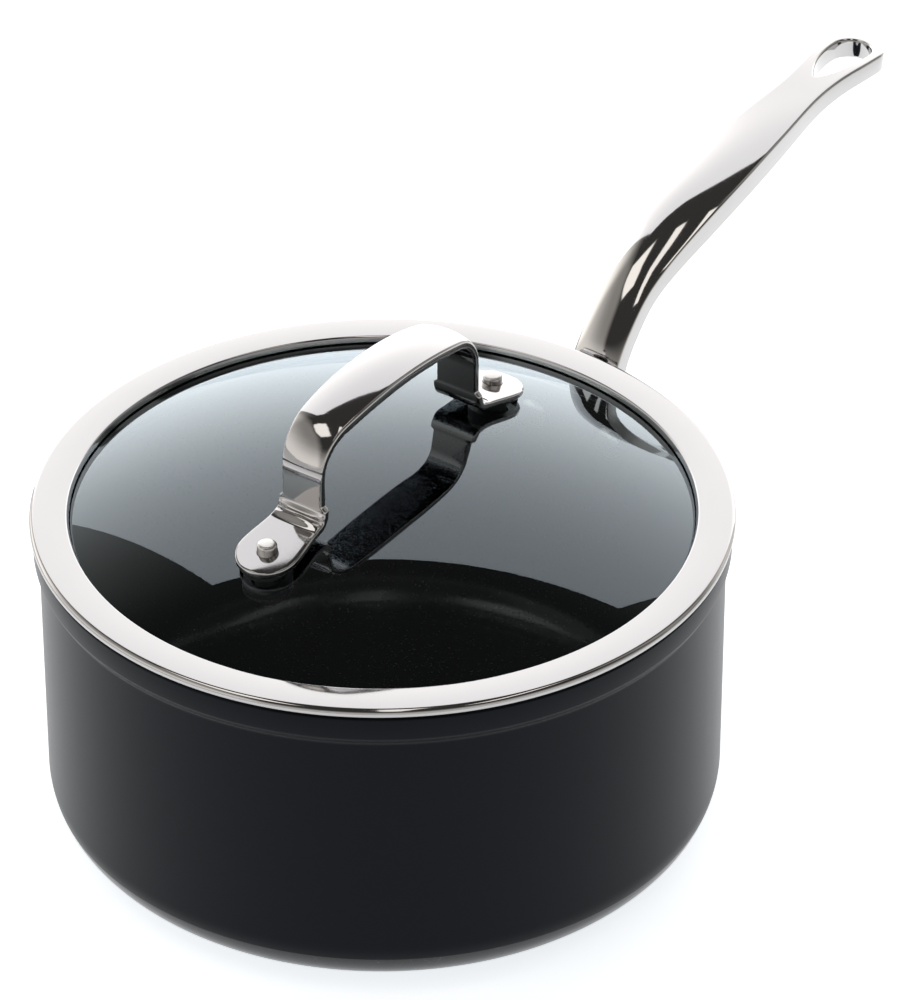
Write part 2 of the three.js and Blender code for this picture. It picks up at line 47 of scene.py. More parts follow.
SMALL_ROUND = 64  # and round the small ones
SHARP_ANGLE = 32  # degrees between faces past which an edge stays sharp

# Sizes shared with the CAD part, except where a comment says otherwise
PAN_RADIUS = 103.5
PAN_HEIGHT = 102
PAN_WALL = 3.2
PAN_FLOOR = 4.2
BASE_FILLET = 17.5
LIP_FLARE = 1.7
LIP_DEPTH = 10.5
LIP_RUN = 3.5
LIP_EDGE = 0.8
PLATE_RADIUS = 72
PLATE_THICKNESS = 1.2
GAP = 0.3
PAN_BORE = PAN_RADIUS - PAN_WALL
LIP_RADIUS = PAN_RADIUS + LIP_FLARE

SEAT = PAN_HEIGHT + GAP
RING_RADIUS = LIP_RADIUS + 0.9
RING_HEIGHT = 3.2
RING_TOP = SEAT + RING_HEIGHT
RING_OPENING = RING_RADIUS - 12
RING_SHEET = 0.8
SKIRT_DEPTH = 9
SKIRT_OUTSIDE = PAN_BORE - 0.6
SKIRT_INSIDE = SKIRT_OUTSIDE - RING_SHEET
GASKET_WALL = 0.9
GLASS_RADIUS = SKIRT_INSIDE - 2 * GAP - GASKET_WALL
GLASS_EDGE = RING_TOP - RING_SHEET - 1.9 - GASKET_WALL
GLASS_RISE = 19.6
GLASS_THICKNESS = 4
DOME_RADIUS = (GLASS_RADIUS**2 + GLASS_RISE**2) / (2 * GLASS_RISE)
DOME_CENTRE = GLASS_EDGE + GLASS_RISE - DOME_RADIUS
CROWN_TOP = DOME_CENTRE + DOME_RADIUS

STUD_X = 56.5
STUD_RADIUS = 3
STUD_HEAD_RADIUS = 5.5
STUD_HEAD = 2.6
STUD_PROUD = 2.9  # 1.1 less than on the CAD studs
STRAP = 2.2
STRAP_HALF_WIDTH = 7.3
BRIDGE_HALF_WIDTH = 9.1
BRIDGE_EDGE = 3.6
BRIDGE_CROWN = 1.2
BRIDGE_HEIGHT = 30
LEG_X = 37.4
FOOT_RADIUS = 10
FOOT_X = STUD_X - 1.5
FOOT_TILT = math.asin(FOOT_X / DOME_RADIUS)
PAD = 1.5
WASHER = 1
WASHER_RADIUS = 7.5

RIVET_SPACING = 30
RIVET_RADIUS = 3
RIVET_HEAD_RADIUS = 5.6
RIVET_HEAD = 2.4
RIVET_ANGLE = math.asin(RIVET_SPACING / 2 / PAN_RADIUS)
FLANGE_Z = PAN_HEIGHT - 21
FLANGE_WIDTH = 46
FLANGE_HEIGHT = 25
FLANGE_THICKNESS = 3


# --- materials --------------------------------------------------------------------------------------------


class Shader:
    """A material's node tree, with a Principled shader to start from."""

    def __init__(self, name, **sockets):
        self.material = bpy.data.materials.new(name)
        self.material.use_nodes = True
        self.tree = self.material.node_tree
        self.tree.nodes.clear()
        self.output = self.tree.nodes.new("ShaderNodeOutputMaterial")
        self.coordinates = self.tree.nodes.new("ShaderNodeTexCoord").outputs["Object"]
        self.principled = self.tree.nodes.new("ShaderNodeBsdfPrincipled")
        self.link(self.principled.outputs[0], self.output.inputs["Surface"])
        for socket, value in sockets.items():
            self.principled.inputs[socket.replace("_", " ")].default_value = value

    def link(self, source, target):
        self.tree.links.new(source, target)

    def node(self, kind, values=(), **settings):
        made = self.tree.nodes.new("ShaderNode" + kind)
        for name, value in settings.items():
            setattr(made, name, value)
        for socket, value in dict(values).items():
            if isinstance(value, bpy.types.NodeSocket):
                self.link(value, made.inputs[socket])
            else:
                made.inputs[socket].default_value = value
        return made

    def noise(self, scale, detail=3):
        """Noise by real size: scale is in features per metre."""
        sockets = {"Vector": self.coordinates, "Scale": scale, "Detail": detail}
        return self.node("TexNoise", sockets).outputs["Fac"]

    def between(self, value, low, high, start=0.3, end=0.7):
        sockets = {"Value": value, "From Min": start, "From Max": end, "To Min": low, "To Max": high}
        return self.node("MapRange", sockets).outputs[0]

    def mix(self, factor, first, second):
        made = self.node("Mix", {"Factor": factor}, data_type="RGBA")
        for index, colour in ((6, first), (7, second)):
            if isinstance(colour, bpy.types.NodeSocket):
                self.link(colour, made.inputs[index])
            else:
                made.inputs[index].default_value = (*colour, 1)
        return made.outputs[2]

    def set(self, socket, source):
        self.link(source, self.principled.inputs[socket])

    def bump(self, height, depth, under=None):
        sockets = {"Height": height, "Distance": depth, "Strength": 1.0}
        if under:
            sockets["Normal"] = under
        normal = self.node("Bump", sockets).outputs[0]
        self.set("Normal", normal)
        return normal


def polished_steel(name, tint, low, high):
    relief = 0.0000015
    made = Shader(name, Metallic=1.0)
    made.set("Base Color", made.mix(made.noise(70), tint, [0.97 * part for part in tint]))
    made.set("Roughness", made.between(made.noise(1500), low, high))
    fine = made.bump(made.noise(2600, 2), relief)
    made.bump(made.noise(45, 1), relief, fine)
    return made.material


def satin_steel():
    made = Shader("satin_steel", Metallic=1.0)
    made.set("Base Color", made.mix(made.noise(900), (0.60, 0.585, 0.57), (0.54, 0.53, 0.515)))
    made.set("Roughness", made.between(made.noise(3000), 0.24, 0.36))
    made.bump(made.noise(5200), 0.000006)
    return made.material


def hard_anodised():
    made = Shader("hard_anodised", IOR=1.25, Specular_Tint=(0.55, 0.62, 0.76, 1))
    made.set("Base Color", made.mix(made.noise(2200), (0.0016, 0.0019, 0.0025), (0.0030, 0.0035, 0.0045)))
    made.set("Roughness", made.between(made.noise(3500), 0.29, 0.34))
    made.bump(made.noise(4200, 4), 0.00001)
    return made.material


def non_stick():
    """A dark ceramic coating with fine metal flakes in it."""
    made = Shader("non_stick", IOR=1.45)
    cells = made.node("TexVoronoi", {"Vector": made.coordinates, "Scale": 1700.0})
    flake = made.between(cells.outputs["Color"], 0.0, 1.0, 0.80, 0.95)
    made.set("Base Color", made.mix(flake, (0.0030, 0.0034, 0.0042), (0.06, 0.075, 0.08)))
    made.set("Metallic", made.between(flake, 0.0, 0.6, 0.0, 1.0))
    made.set("Roughness", made.between(made.noise(2500), 0.17, 0.22))
    made.bump(cells.outputs["Distance"], 0.000012)
    return made.material


def induction_steel():
    """Brushed in rings about the pan's axis."""
    made = Shader("induction_steel", Metallic=1.0)
    rings = made.node(
        "TexWave",
        {"Vector": made.coordinates, "Scale": 420.0, "Distortion": 0.4, "Detail": 3.0},
        wave_type="RINGS",
        rings_direction="Z",
    ).outputs["Fac"]
    made.set("Base Color", made.mix(made.noise(500), (0.32, 0.32, 0.325), (0.40, 0.40, 0.40)))
    made.set("Roughness", made.between(rings, 0.30, 0.42, 0.0, 1.0))
    made.bump(rings, 0.00002)
    return made.material


def silicone(name, dark, light):
    made = Shader(name, IOR=1.42)
    made.set("Base Color", made.mix(made.noise(400), dark, light))
    made.set("Roughness", made.between(made.noise(2500), 0.5, 0.65))
    made.bump(made.noise(3800), 0.000008)
    return made.material


def clear_glass():
    """A thin sheet: the face that light meets first mirrors for both, and what passes is tinted a little."""
    made = Shader("clear_glass")
    facing = made.node("NewGeometry").outputs["Backfacing"]
    single = made.node("Fresnel", {"IOR": 1.52}).outputs[0]
    twice = made.node("Math", {0: single, 1: 2.0}, operation="MULTIPLY").outputs[0]
    more = made.node("Math", {0: single, 1: 1.0}, operation="ADD").outputs[0]
    both = made.node("Math", {0: twice, 1: more}, operation="DIVIDE").outputs[0]
    outside = made.between(facing, 1.0, 0.0, 0.0, 1.0)
    share = made.node("Math", {0: both, 1: outside}, operation="MULTIPLY").outputs[0]
    tint = made.mix(made.noise(20), (0.90, 0.925, 0.93), (0.88, 0.91, 0.915))
    passed = made.node("BsdfTransparent", {"Color": tint}).outputs[0]
    shine = made.node("BsdfGlossy", {"Color": (0.83, 0.93, 1.0, 1)}).outputs[0]
    made.link(made.between(made.noise(60), 0.004, 0.009), shine.node.inputs["Roughness"])
    surface = made.node("MixShader", {0: share, 1: passed, 2: shine})
    made.tree.nodes.remove(made.principled)
    made.link(surface.outputs[0], made.output.inputs["Surface"])
    return made.material


HANDLE_STEEL = polished_steel("handle_steel", (0.52, 0.51, 0.507), 0.045, 0.075)
RIM_STEEL = polished_steel("rim_steel", (0.478, 0.468, 0.470), 0.05, 0.08)
SATIN_STEEL = satin_steel()
ANODISED = hard_anodised()
NON_STICK = non_stick()
PLATE_STEEL = induction_steel()
SILICONE = silicone("silicone", (0.012, 0.013, 0.014), (0.020, 0.021, 0.023))
GLASS = clear_glass()


# --- shape helpers ----------------------------------------------------------------------------------------


def smooth(start, end, value):
    share = min(1.0, max(0.0, (value - start) / (end - start)))
    return share * share * (3 - 2 * share)


def lerp(first, second, share):
    return first + (second - first) * share


def arc(centre, radius, start, end, steps):
    """Points of an arc, angles in degrees from the first axis."""
    angles = [math.radians(lerp(start, end, i / steps)) for i in range(steps + 1)]
    return [(centre[0] + radius * math.cos(a), centre[1] + radius * math.sin(a)) for a in angles]


def run(first, second, steps):
    """Points of a straight line, its last point left out."""
    return [tuple(lerp(a, b, i / steps) for a, b in zip(first, second)) for i in range(steps)]


def make(name, points, faces, *materials, sharp=SHARP_ANGLE):
    """A smooth mesh object, in metres, with its faces pointing out."""
    mesh = bpy.data.meshes.new(name)
    mesh.from_pydata([[MM * part for part in point] for point in points], [], faces)
    for material in materials:
        mesh.materials.append(material)
    tidy = bmesh.new()
    tidy.from_mesh(mesh)
    bmesh.ops.remove_doubles(tidy, verts=tidy.verts, dist=1e-7)
    bmesh.ops.recalc_face_normals(tidy, faces=tidy.faces)
    if tidy.calc_volume(signed=True) < 0:
        bmesh.ops.reverse_faces(tidy, faces=tidy.faces)
    tidy.to_mesh(mesh)
    tidy.free()
    mesh.shade_smooth()
    mesh.set_sharp_from_angle(angle=math.radians(sharp))
    made = bpy.data.objects.new(name, mesh)
    bpy.context.scene.collection.objects.link(made)
    return made


def grid_faces(rings, count):
    """Quads between rings of count points, numbered one ring after the other."""
    faces = []
    for ring in range(rings - 1):
        for i in range(count):
            a, b = ring * count + i, ring * count + (i + 1) % count
            faces.append((a, b, b + count, a + count))
    return faces


def turned(profile, segments=ROUND):
    """Points and faces of a (radius, height) profile turned about Z, closed unless its ends are on the axis."""
    if profile[0][0] or profile[-1][0]:
        profile = [*profile, profile[0]]
    angles = [2 * math.pi * i / segments for i in range(segments)]
    points = [(r * math.cos(a), r * math.sin(a), z) for r, z in profile for a in angles]
    return points, grid_faces(len(profile), segments)


def loft(rings):
    """Points and faces of a closed skin over rings of points, with a flat cap on each end."""
    count = len(rings[0])
    points = [point for ring in rings for point in ring]
    faces = grid_faces(len(rings), count)
    faces += [tuple(range(count)), tuple(range((len(rings) - 1) * count, len(rings) * count))]
    return points, faces


def change(target, tool, operation):
    """Cuts tool from target, or joins it on, and drops tool."""
    step = target.modifiers.new("step", "BOOLEAN")
    step.operation = operation
    step.solver = "EXACT"
    step.object = tool
    bpy.context.view_layer.update()
    graph = bpy.context.evaluated_depsgraph_get()
    mesh = bpy.data.meshes.new_from_object(target.evaluated_get(graph))
    target.modifiers.clear()
    target.data = mesh
    bpy.data.objects.remove(tool)
    mesh.shade_smooth()
    mesh.set_sharp_from_angle(angle=math.radians(SHARP_ANGLE))


def join(target, other):
    """Adds other's faces to target, and drops other."""
    both = bmesh.new()
    both.from_mesh(target.data)
    both.from_mesh(other.data)
    both.to_mesh(target.data)
    both.free()
    bpy.data.objects.remove(other)
    target.data.shade_smooth()
    target.data.set_sharp_from_angle(angle=math.radians(SHARP_ANGLE))


def shift(points, x):
    return [(p[0] + x, p[1], p[2]) for p in points]


def rod(name, radius, bottom, top, x):
    points, faces = turned([(0, bottom), (radius, bottom), (radius, top), (0, top)], SMALL_ROUND)
    return make(name, shift(points, x), faces)


def finish_piece(made, body, slot, *nodes):
    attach(made, body)
    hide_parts(*nodes)


# --- pan --------------------------------------------------------------------------------------------------


def build_pan_body():
    recess = PLATE_THICKNESS + GAP
    crease = PAN_HEIGHT - LIP_DEPTH
    fillet = BASE_FILLET - PAN_WALL
    plate_edge = PLATE_RADIUS + GAP
    lip = [
        (PAN_RADIUS + LIP_FLARE * smooth(0, LIP_RUN, up), crease + up)
        for up in [LIP_RUN * i / 8 for i in range(9)]
    ]
    outside = [
        (0, recess),
        (plate_edge, recess),
        (plate_edge, 0.3),
        (plate_edge + 0.3, 0),
        *arc((PAN_RADIUS - BASE_FILLET, BASE_FILLET), BASE_FILLET, -90, 0, 24),
        *run((PAN_RADIUS, BASE_FILLET + 1), (PAN_RADIUS, crease - 0.6), 6),
        (PAN_RADIUS, crease - 0.4),
        *lip,
        *arc((LIP_RADIUS - LIP_EDGE, PAN_HEIGHT - LIP_EDGE), LIP_EDGE, 0, 90, 8),
    ]
    inside = [
        *arc((PAN_BORE + LIP_EDGE, PAN_HEIGHT - LIP_EDGE), LIP_EDGE, 90, 180, 8),
        *run((PAN_BORE, PAN_HEIGHT - 2), (PAN_BORE, PAN_FLOOR + fillet + 1), 6),
        *arc((PAN_BORE - fillet, PAN_FLOOR + fillet), fillet, 0, -90, 24),
        (60, PAN_FLOOR),
        (0, PAN_FLOOR),
    ]
    points, faces = turned(outside + inside)
    made = make("pan_body_shell", points, faces, ANODISED, NON_STICK)
    for face in made.data.polygons:
        centre = face.center / MM
        across = math.hypot(centre.x, centre.y)
        if across < (PAN_BORE + LIP_RADIUS) / 2 and centre.z > recess + 1:
            face.material_index = 1
    finish_piece(made, "pan", "hard_anodised", "pan_body")


def build_plate():
    edge = 0.25
    profile = [
        (0, 0),
        *run((10, 0), (PLATE_RADIUS - edge, 0), 4),
        (PLATE_RADIUS - edge, 0),
        (PLATE_RADIUS, edge),
        (PLATE_RADIUS, PLATE_THICKNESS),
        (0, PLATE_THICKNESS),
    ]
    made = make("induction_disc", *turned(profile), PLATE_STEEL)
    finish_piece(made, "pan", "induction_steel", "induction_plate")


def outward_along_x(points, angle):
    """Turned points whose axis is Z, laid along the pan's radius at an angle, at the flange's height."""
    laid = []
    for x, y, z in points:
        out = z * math.cos(angle) - y * math.sin(angle)
        aside = z * math.sin(angle) + y * math.cos(angle)
        laid.append((out, aside, -x + FLANGE_Z))
    return laid


def build_rivets():
    inner, outer = PAN_BORE - GAP, PAN_RADIUS + GAP + FLANGE_THICKNESS + GAP
    head = RIVET_HEAD_RADIUS
    dome = [
        (head * math.sin(math.radians(a)), inner - 0.4 - RIVET_HEAD * math.cos(math.radians(a)))
        for a in [0, 8, 16, 26, 36, 46, 56, 66, 76, 85]
    ]
    profile = [
        *dome,
        (head, inner - 0.2),
        (head - 0.15, inner),
        (RIVET_RADIUS, inner),
        (RIVET_RADIUS, outer),
        (4.4, outer),
        (4.35, outer + 0.6),
        (4.1, outer + 1.05),
        (3.6, outer + 1.3),
        (2, outer + 1.45),
        (0, outer + 1.5),
    ]
    for end, side in (("left", 1), ("right", -1)):
        points, faces = turned(profile, SMALL_ROUND)
        points = outward_along_x(points, side * RIVET_ANGLE)
        made = make(f"rivet_{end}", points, faces, SATIN_STEEL)
        finish_piece(made, "pan", "satin_steel", f"handle_rivet_{end}")


# The handle's top line, from the flange to its tip: out from the wall, up from the rim, half width
HANDLE_SPINE = [
    (3, -22, 9.5),
    (4.3, -12, 9),
    (9, -1.5, 8.4),
    (17, 8.2, 8.2),
    (27.8, 17.6, 8.3),
    (50.7, 28.9, 10.8),
    (76.5, 35, 10.9),
    (104.4, 39.7, 9.4),
    (123, 41.7, 7.8),
    (137, 42.8, 8.5),
    (148, 43.1, 10),
    (165.6, 42.2, 10.5),
]
SPINE_PASSES = 60  # of smoothing, so that reflections run evenly along the bar
SPINE_REACH = 3  # a section faces along the chord from this far behind it to this far ahead
HANDLE_CROWN = 2.6
HANDLE_EDGE_ROOT = 7.2  # height of the side band at the root,
HANDLE_EDGE_GRIP = 8.8  # in the grip
HEAD_THICKNESS = 7  # and at the tip
HEAD_RADIUS = 10.5
HOLE_RADIUS = 6.5
HOLE_REACH = 21.5  # from the round end's centre to the point
HOLE_MARGIN = 4.7  # steel left past the round end
HOLE_RIM = 0.9  # rounding of the hole's two edges
HOLE_X = PAN_RADIUS + HANDLE_SPINE[-1][0] - HOLE_MARGIN - HOLE_RADIUS


def spine_curve(points, per_span=20):
    """A centripetal Catmull-Rom curve through points, as a dense list of points."""
    points = [Vector(p) for p in points]
    points = [2 * points[0] - points[1], *points, 2 * points[-1] - points[-2]]
    dense = []
    for before, start, end, after in zip(points, points[1:], points[2:], points[3:]):
        d0, d1, d2 = (math.sqrt((b - a).length) for a, b in ((before, start), (start, end), (end, after)))
        leave = d1 * ((start - before) / d0 - (end - before) / (d0 + d1) + (end - start) / d1)
        arrive = d1 * ((end - start) / d1 - (after - start) / (d1 + d2) + (after - end) / d2)
        for step in range(per_span):
            t = step / per_span
            dense.append(
                start * (2 * t**3 - 3 * t**2 + 1)
                + leave * (t**3 - 2 * t**2 + t)
                + end * (3 * t**2 - 2 * t**3)
                + arrive * (t**3 - t**2)
            )
    dense.append(points[-2].copy())
    return dense


def soften(points, passes):
    """Evens out the bends of a dense line, its ends held."""
    for _ in range(passes):
        inner = [(a + 2 * b + c) / 4 for a, b, c in zip(points, points[1:], points[2:])]
        points = [points[0], *inner, points[-1]]
    return points


class Line:
    """A polyline that is read by distance along it."""

    def __init__(self, points):
        self.points = [Vector(p) for p in points]
        self.marks = [0.0]
        for a, b in zip(self.points, self.points[1:]):
            self.marks.append(self.marks[-1] + (b - a).length)
        self.length = self.marks[-1]

    def at(self, distance):
        """Point and direction at a distance."""
        low = 0
        while low < len(self.marks) - 2 and self.marks[low + 1] < distance:
            low += 1
        a, b = self.points[low], self.points[low + 1]
        share = (distance - self.marks[low]) / (b - a).length
        return a.lerp(b, share), (b - a).normalized()


def bar_section(half, edge, crown, low_round, top_round, trim):
    """A D-shaped section: flat underside, rounded sides and crowned top, trimmed near a rounded end."""
    low_round = min(low_round, 0.45 * half, 0.3 * edge)
    top_round = min(top_round, 0.45 * half, 0.3 * edge)
    slope = math.degrees(math.atan(2 * crown / half))
    floor, top = trim, edge - trim
    left = arc((-half + low_round, floor + low_round), low_round, -90, -180, 5)
    left += arc((-half + top_round, top - top_round), top_round, 180, 90 + slope, 6)
    start = left[-1]
    bulge = -start[0] * math.tan(math.radians(slope)) / 2
    over = []
    for i in range(1, 20):
        across = lerp(start[0], -start[0], i / 20)
        over.append((across, start[1] + bulge * (1 - (across / start[0]) ** 2)))
    right = [(-across, up) for across, up in reversed(left)]
    return left + over + right


def sweep(stations):
    """Rings of sections along a path in the XZ plane; each section's top faces the path's left side."""
    rings = []
    for point, direction, lift, section in stations:
        left = (-direction[1], direction[0])
        ring = []
        for across, up in section:
            rise = up + lift
            ring.append((point[0] + left[0] * rise, across, point[1] + left[1] * rise))
        rings.append(ring)
    return loft(rings)


def handle_thickness(share):
    grip = lerp(HANDLE_EDGE_ROOT, HANDLE_EDGE_GRIP, smooth(0.2, 0.45, share))
    return lerp(grip, HEAD_THICKNESS, smooth(0.55, 0.95, share))


def clear_of_pan(point):
    """The root hugs the wall and the lip, and leaves the lid's ring room to lift out."""
    x, y, z = point
    crease = PAN_HEIGHT - LIP_DEPTH - 1
    limit = PAN_RADIUS + GAP + LIP_FLARE * smooth(crease, crease + LIP_RUN, z)
    limit = lerp(limit, RING_RADIUS + 2 * GAP, smooth(SEAT - 1.4, SEAT - 0.6, z))
    across = math.hypot(x, y)
    grow = max(1.0, limit / across)
    return x * grow, y * grow, z


def build_bar():
    spine = soften(spine_curve(HANDLE_SPINE), SPINE_PASSES)
    line = Line([(PAN_RADIUS + out, PAN_HEIGHT + up, width) for out, up, width in spine])
    round_start = 1 - HEAD_RADIUS / line.length
    steps = 170
    marks = [i / steps for i in range(steps + 1) if i / steps < round_start]
    marks += [round_start + math.sin(math.radians(a)) * (1 - round_start) for a in range(3, 90, 4)]
    stations = []
    top_line = []
    for share in marks:
        here = share * line.length
        point = line.at(here)[0]
        ahead = line.at(min(here + SPINE_REACH, line.length))[0]
        behind = line.at(max(here - SPINE_REACH, 0))[0]
        direction = ahead - behind
        past = max(0.0, (share - round_start) / (1 - round_start))
        half = point.z * math.sqrt(1 - past**2)
        edge = handle_thickness(share)
        crown = min(HANDLE_CROWN * (1 - smooth(0.42, 0.78, share)) * smooth(0, 0.15, share), 0.3 * half)
        top_line.append((point.x, point.y, edge))
        rim = 0.9
        left = (1 - share) * line.length
        trim = rim - math.sqrt(rim**2 - max(0.0, rim - left) ** 2)
        slope = Vector((direction.x, direction.y)).normalized()
        stations.append(((point.x, point.y), slope, -edge, bar_section(half, edge, crown, 1.6, 0.9, trim)))
    points, faces = sweep(stations)
    return make("handle_casting", [clear_of_pan(point) for point in points], faces, HANDLE_STEEL), top_line


def teardrop(grow):
    """The hanging hole's outline, widened by grow, from its point towards the pan round its round end."""
    around = arc((0, 0), HOLE_RADIUS, 90, -90, 30)
    bulge, tip = (0.6 * HOLE_REACH, 1.05 * HOLE_RADIUS), (HOLE_REACH - 0.6, 1.0)
    side = []
    for i in range(1, 17):
        t = i / 16
        side.append(
            (
                -2 * t * (1 - t) * bulge[0] - t * t * tip[0],
                -HOLE_RADIUS * (1 - t) ** 2 - 2 * t * (1 - t) * bulge[1] - t * t * tip[1],
            )
        )
    end = [(-HOLE_REACH - 0.05, -0.5), (-HOLE_REACH - 0.15, 0), (-HOLE_REACH - 0.05, 0.5)]
    outline = around + side + end + [(x, -y) for x, y in reversed(side)]
    moved = []
    for i, (x, y) in enumerate(outline):
        before, after = outline[i - 1], outline[(i + 1) % len(outline)]
        along = Vector((after[0] - before[0], after[1] - before[1])).normalized()
        moved.append((x - along.y * grow, y + along.x * grow))
    return moved


def build_hole_tool(top_line):
    """A cutter whose mouths open out at the top and the underside, so that the hole's edges are rounded."""

    def top_at(x):
        for a, b in zip(top_line, top_line[1:]):
            if a[0] <= x <= b[0]:
                share = (x - a[0]) / (b[0] - a[0])
                return lerp(a[1], b[1], share), lerp(a[2], b[2], share)
        return top_line[-1][1], top_line[-1][2]

    rim = HOLE_RIM
    levels = []
    for a in range(0, 91, 15):
        levels.append((rim * math.sin(math.radians(a)) - rim, rim - rim * math.cos(math.radians(a))))
    rings = []
    for depth, grow in [(5, rim), *reversed(levels)]:
        rings.append([(HOLE_X + x, y, top_at(HOLE_X + x)[0] + depth) for x, y in teardrop(grow)])
    for depth, grow in [*levels, (5, rim)]:
        ring = []
        for x, y in teardrop(grow):
            top, thick = top_at(HOLE_X + x)
            ring.append((HOLE_X + x, y, top - thick - depth))
        rings.append(ring)
    return make("hole_tool", *loft(rings))


def build_flange():
    """An oval plate bent to the pan's wall."""
    inner, edge = PAN_RADIUS + GAP, 1.0
    outline = [(0.0, 0.0), (0.35, 0.0), (0.7, 0.0), (1.0, 0.0), (1.0, 0.5)]
    for a in range(90, -1, -15):
        share = 1 - edge * (1 - math.sin(math.radians(a))) / (FLANGE_HEIGHT / 2)
        outline.append((share, FLANGE_THICKNESS - edge * (1 - math.cos(math.radians(a)))))
    outline += [(0.6, FLANGE_THICKNESS), (0.3, FLANGE_THICKNESS), (0.0, FLANGE_THICKNESS)]
    count = 96
    points = []
    for share, height in outline:
        for i in range(count):
            angle = 2 * math.pi * i / count
            y = share * FLANGE_WIDTH / 2 * math.cos(angle)
            z = FLANGE_Z + share * FLANGE_HEIGHT / 2 * math.sin(angle)
            out = inner + height + LIP_FLARE * smooth(0, LIP_RUN, z - PAN_HEIGHT + LIP_DEPTH)
            points.append((math.sqrt(out**2 - y * y), y, z))
    return make("flange_tool", points, grid_faces(len(outline), count))


def build_pan_handle():
    bar, top_line = build_bar()
    change(bar, build_hole_tool(top_line), "DIFFERENCE")
    join(bar, build_flange())
    finish_piece(bar, "pan", "polished_steel", "pan_handle")


# --- lid --------------------------------------------------------------------------------------------------


def glass_top(r):
    return DOME_CENTRE + math.sqrt(DOME_RADIUS**2 - r * r)


def glass_under(r):
    return DOME_CENTRE + math.sqrt((DOME_RADIUS - GLASS_THICKNESS) ** 2 - r * r)


GLASS_BORE_RADIUS = 4.9  # of each hole that a stud and its sleeve go through


def build_glass():
    steps = 48
    seam = 0.5
    radii = [(GLASS_RADIUS - seam) * i / steps for i in range(steps + 1)]
    profile = [(r, glass_under(r)) for r in radii]
    profile.append((GLASS_RADIUS, glass_under(GLASS_RADIUS) + seam))
    profile.append((GLASS_RADIUS, glass_top(GLASS_RADIUS) - seam))
    profile += [(r, glass_top(r)) for r in reversed(radii)]
    made = make("glass_dome", *turned(profile), GLASS, sharp=50)
    for side in (-1, 1):
        tool = rod("bore_tool", GLASS_BORE_RADIUS, GLASS_EDGE - 20, GLASS_EDGE + 45, side * STUD_X)
        change(made, tool, "DIFFERENCE")
    mesh = made.data
    normals = []
    for face in mesh.polygons:
        for vertex in face.vertices:
            point = mesh.vertices[vertex].co / MM
            radial = Vector((point.x, point.y, point.z - DOME_CENTRE)).normalized()
            facing = face.normal.dot(radial)
            normals.append(radial if facing > 0.95 else -radial if facing < -0.95 else face.normal)
    mesh.normals_split_custom_set(normals)
    finish_piece(made, "lid", "clear_glass", "lid_glass")


def build_rim():
    half = RING_SHEET / 2
    roll = RING_HEIGHT / 2 - half
    skirt = SKIRT_OUTSIDE - half
    bottom = SEAT - SKIRT_DEPTH + half
    centre_line = [
        (RING_OPENING + half, RING_TOP - 1.9),
        (RING_OPENING + half + 0.25, RING_TOP - 1.27),
        *arc((RING_OPENING + half + 0.835, RING_TOP - half - 0.35), 0.35, 158, 90, 6),
        *arc((RING_RADIUS - RING_HEIGHT / 2, RING_TOP - RING_HEIGHT / 2), roll, 90, -90, 20),
        *arc((skirt + 0.7, SEAT + half - 0.7), 0.7, 90, 180, 6),
        *arc((skirt - 0.7, bottom + 0.7), 0.7, 0, -90, 6),
        (SKIRT_INSIDE - 3.4, bottom),
    ]
    left, right = [], []
    for i, point in enumerate(centre_line):
        ahead = centre_line[min(i + 1, len(centre_line) - 1)]
        behind = centre_line[max(i - 1, 0)]
        along = Vector((ahead[0] - behind[0], ahead[1] - behind[1])).normalized()
        left.append((point[0] - along.y * half, point[1] + along.x * half))
        right.append((point[0] + along.y * half, point[1] - along.x * half))
    points, faces = turned(left + right[::-1])
    finish_piece(make("lid_ring", points, faces, RIM_STEEL), "lid", "polished_steel", "lid_rim")


def build_gasket():
    inner, back = RING_OPENING + RING_SHEET + GAP, GLASS_RADIUS + GAP
    outer = back + GASKET_WALL
    nose = 0.2
    over = [glass_top(inner) + GAP, glass_top(GLASS_RADIUS) + GAP]
    under = [glass_under(GLASS_RADIUS) - GAP, glass_under(inner) - GAP]
    profile = [
        (inner, over[0]),
        (back, over[1]),
        (back, under[0]),
        (inner, under[1]),
        (inner - nose, under[1] - GASKET_WALL / 2),
        (inner, under[1] - GASKET_WALL),
        (outer, under[0] - GASKET_WALL),
        (outer, over[1] + GASKET_WALL),
        (inner, over[0] + GASKET_WALL),
        (inner - nose, over[0] + GASKET_WALL / 2),
    ]
    finish_piece(make("glass_seal", *turned(profile), SILICONE), "lid", "silicone", "lid_gasket")


def foot_under(x):
    rise = GAP + PAD + GAP
    foot = (FOOT_X + rise * math.sin(FOOT_TILT), glass_top(FOOT_X) + rise * math.cos(FOOT_TILT))
    return foot[1] - (x - foot[0]) * math.tan(FOOT_TILT)


def rounded_path(corners, radii, steps):
    """Straight runs in the XZ plane with an arc at each inner corner, and the index of each arc's start."""
    corners = [Vector(c) for c in corners]
    path = [corners[0]]
    starts = []
    for i, (radius, count) in enumerate(zip(radii, steps)):
        corner = corners[i + 1]
        before = (corners[i] - corner).normalized()
        after = (corners[i + 2] - corner).normalized()
        half = before.angle(after) / 2
        reach = radius / math.tan(half)
        centre = corner + (before + after).normalized() * radius / math.sin(half)
        first = corner + before * reach - centre
        last = corner + after * reach - centre
        turn = math.atan2(first.cross(last), first.dot(last))
        starts.append(len(path))
        for step in range(count + 1):
            a = turn * step / count
            turned_x = first.x * math.cos(a) - first.y * math.sin(a)
            turned_y = first.x * math.sin(a) + first.y * math.cos(a)
            path.append(centre + Vector((turned_x, turned_y)))
    path.append(corners[-1])
    return path, starts


